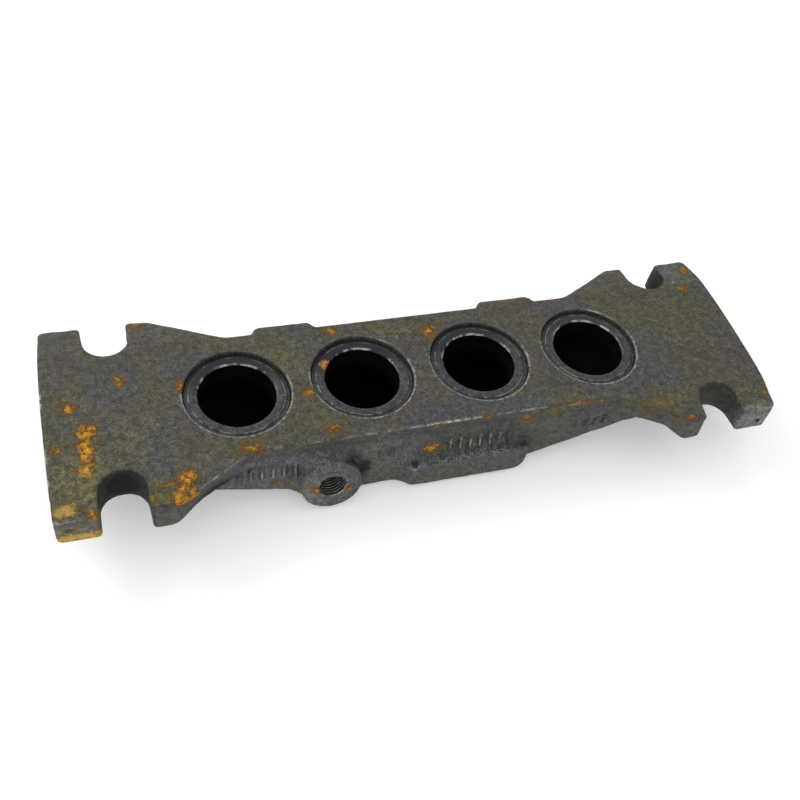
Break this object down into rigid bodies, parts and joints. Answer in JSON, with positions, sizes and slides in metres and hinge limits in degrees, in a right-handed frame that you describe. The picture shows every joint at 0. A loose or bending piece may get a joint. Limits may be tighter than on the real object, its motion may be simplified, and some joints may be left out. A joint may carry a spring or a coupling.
{
  "type": "four-port header manifold",
  "caption": "Long flat cast-iron header with ports in line on one face, slotted clamping ears at its ends and a tapped boss on one side.",
  "frame": {"origin": "middle of the base, on the plane the header rests on, under the middle of the row of ports", "axes": "+X along the row of ports, away from the tapped boss; +Y away from the side with the tapped boss; +Z out of the port face"},
  "size_m": [0.3164, 0.0946, 0.036],
  "materials": {
    "cast_iron": "as-cast sand texture, faded and rusting in spots",
    "machined_iron": "turned face, oxidised dark",
    "gasket_fibre": "matte compressed fibre"
  },
  "bodies": {
    "root": {"header_casting": "cast_iron", "seat_ring_1": "machined_iron", "seat_ring_2": "machined_iron", "seat_ring_3": "machined_iron", "seat_ring_4": "machined_iron", "seat_gasket_1": "gasket_fibre", "seat_gasket_2": "gasket_fibre", "seat_gasket_3": "gasket_fibre", "seat_gasket_4": "gasket_fibre"}
  },
  "joints": []
}
